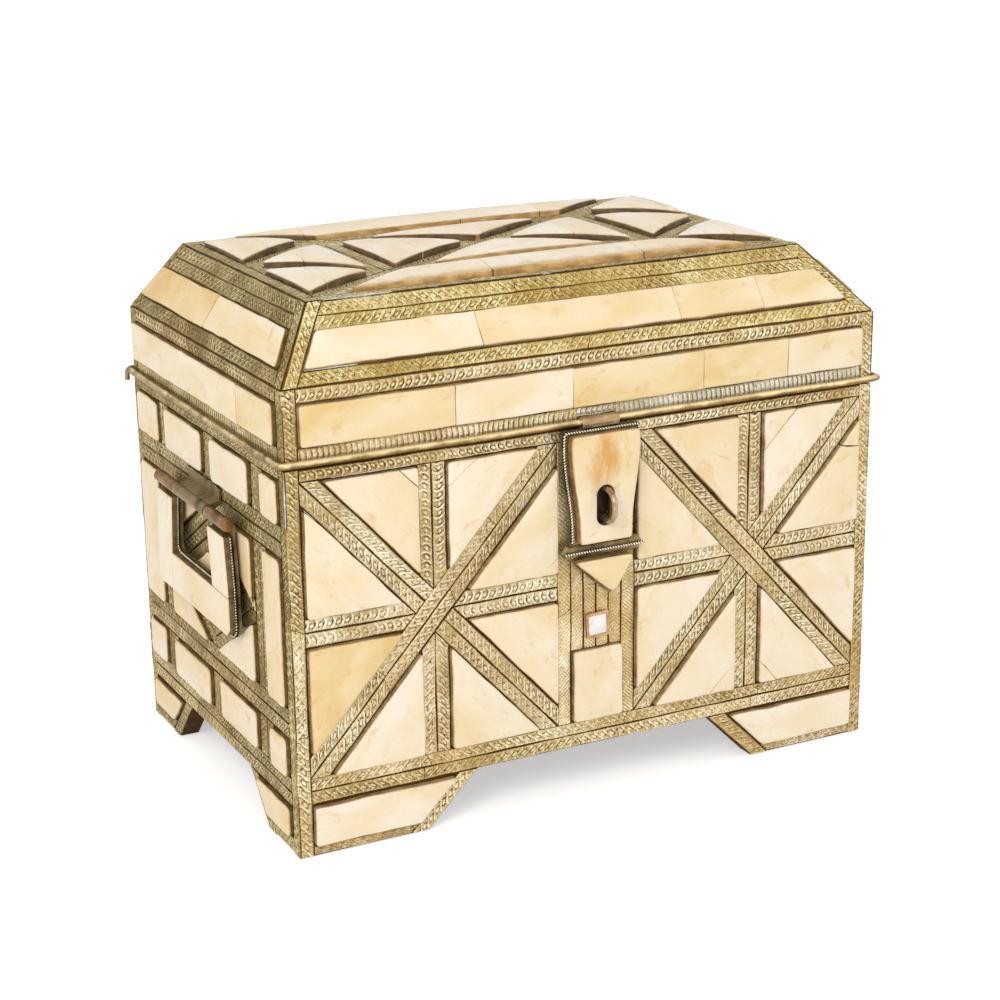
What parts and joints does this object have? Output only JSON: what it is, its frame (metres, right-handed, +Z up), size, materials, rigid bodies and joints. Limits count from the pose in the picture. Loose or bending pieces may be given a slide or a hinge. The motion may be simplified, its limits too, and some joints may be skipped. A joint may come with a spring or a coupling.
{
  "type": "dowry chest",
  "caption": "Footed wooden chest with a hipped lid, covered with bone plaques in embossed brass strips, with a hasp over a staple and bail handles on both ends.",
  "frame": {"origin": "middle of the outer box on the floor", "axes": "+X to the right along the front, +Y from the front with the hasp to the back with the hinge, +Z up"},
  "size_m": [0.4268, 0.2922, 0.3324],
  "materials": {
    "boards_with_bone": "cream bone plaques glued on dark wooden boards, polished",
    "plain_wood": "plain dark wood, unpolished",
    "bone": "polished cream bone with warm stains and fine cracks",
    "embossed_brass": "aged, embossed with scrolls and bosses",
    "golden_brass": "smooth, worn to a golden tone",
    "tarnished_wire": "dull silvery white metal",
    "white_tile": "glossy white glass paste"
  },
  "bodies": {
    "chest": {"front_board": "boards_with_bone", "right_board": "boards_with_bone", "back_board": "boards_with_bone", "left_board": "boards_with_bone", "front_strips": "embossed_brass", "right_strips": "embossed_brass", "back_strips": "embossed_brass", "left_strips": "embossed_brass", "floor_board": "plain_wood", "tile_rim": "golden_brass", "tile": "white_tile", "hasp_staple": "tarnished_wire", "hinge_leaf_base": "embossed_brass", "hinge_pin": "golden_brass", "handle_left_strap": "embossed_brass", "handle_left_rod": "golden_brass", "handle_right_strap": "embossed_brass", "handle_right_rod": "golden_brass"},
    "lid": {"lid_front_board": "boards_with_bone", "lid_right_board": "boards_with_bone", "lid_back_board": "boards_with_bone", "lid_left_board": "boards_with_bone", "lid_front_strips": "embossed_brass", "lid_right_strips": "embossed_brass", "lid_back_strips": "embossed_brass", "lid_left_strips": "embossed_brass", "lid_front_slope": "boards_with_bone", "lid_right_slope": "boards_with_bone", "lid_back_slope": "boards_with_bone", "lid_left_slope": "boards_with_bone", "lid_front_slope_strips": "embossed_brass", "lid_right_slope_strips": "embossed_brass", "lid_back_slope_strips": "embossed_brass", "lid_left_slope_strips": "embossed_brass", "lid_top_board": "plain_wood", "lid_top_strips": "embossed_brass", "top_plaque_front_long": "bone", "top_plaque_back_long": "bone", "top_plaque_front_inner": "bone", "top_plaque_back_inner": "bone", "top_plaque_right_inner": "bone", "top_plaque_left_inner": "bone", "top_plaque_right_outer": "bone", "top_plaque_left_outer": "bone", "top_plaque_front_left_border": "bone", "top_plaque_back_left_border": "bone", "top_plaque_front_right_border": "bone", "top_plaque_back_right_border": "bone", "lid_moulding": "golden_brass", "hinge_leaf_lid": "embossed_brass"},
    "hasp": {"hasp_plate": "embossed_brass", "hasp_bone": "bone", "hasp_tip_bone": "bone", "hasp_rim_wire": "tarnished_wire", "hasp_bar_wire": "tarnished_wire"},
    "handle_left": {"handle_left_bail": "embossed_brass", "handle_left_bone": "bone"},
    "handle_right": {"handle_right_bail": "embossed_brass", "handle_right_bone": "bone"}
  },
  "joints": [
    {"name": "lid_hinge", "type": "hinge", "parent": "chest", "child": "lid", "pos_m": [0, 0.1425, 0.241], "axis": [-1, 0, 0], "range_deg": [0, 110]},
    {"name": "hasp_hinge", "type": "hinge", "parent": "lid", "child": "hasp", "pos_m": [0, -0.1243, 0.241], "axis": [-1, 0, 0], "range_deg": [0, 110]},
    {"name": "handle_left_hinge", "type": "hinge", "parent": "chest", "child": "handle_left", "pos_m": [-0.209, 0.0084, 0.188], "axis": [0, 1, 0], "range_deg": [0, 165]},
    {"name": "handle_right_hinge", "type": "hinge", "parent": "chest", "child": "handle_right", "pos_m": [0.209, 0.0084, 0.188], "axis": [0, -1, 0], "range_deg": [0, 165]}
  ]
}
